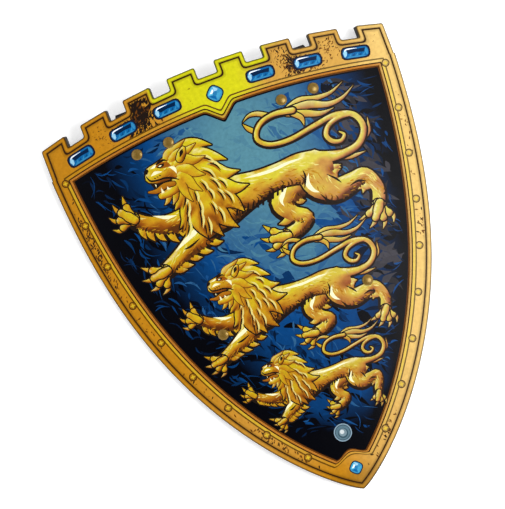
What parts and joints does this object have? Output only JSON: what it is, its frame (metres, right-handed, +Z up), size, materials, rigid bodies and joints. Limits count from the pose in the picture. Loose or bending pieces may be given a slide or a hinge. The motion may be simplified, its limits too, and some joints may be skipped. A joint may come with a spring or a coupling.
{
  "type": "toy heater shield",
  "caption": "Bowed foam play shield of heater shape with a crenellated crown edge, raised border, printed face and riveted arm straps behind.",
  "frame": {"origin": "middle of the bounding box, at the ground the shield lies on", "axes": "+Y from the tip to the crown, +Z up out of the printed face, +X to the right as the face is read"},
  "size_m": [0.4082, 0.4982, 0.052],
  "materials": {
    "printed_foam": "satin print over soft closed-cell foam",
    "rivets": "satin bronze colour",
    "dark_foam": "matt soft foam"
  },
  "bodies": {
    "root": {"shield_body": "printed_foam", "rivet_upper_left_outer": "rivets", "rivet_upper_left_inner": "rivets", "rivet_upper_right_inner": "rivets", "rivet_upper_right_outer": "rivets", "rivet_lower_left": "rivets", "rivet_lower_right": "rivets", "arm_strap_left": "dark_foam", "arm_strap_right": "dark_foam"}
  },
  "joints": []
}
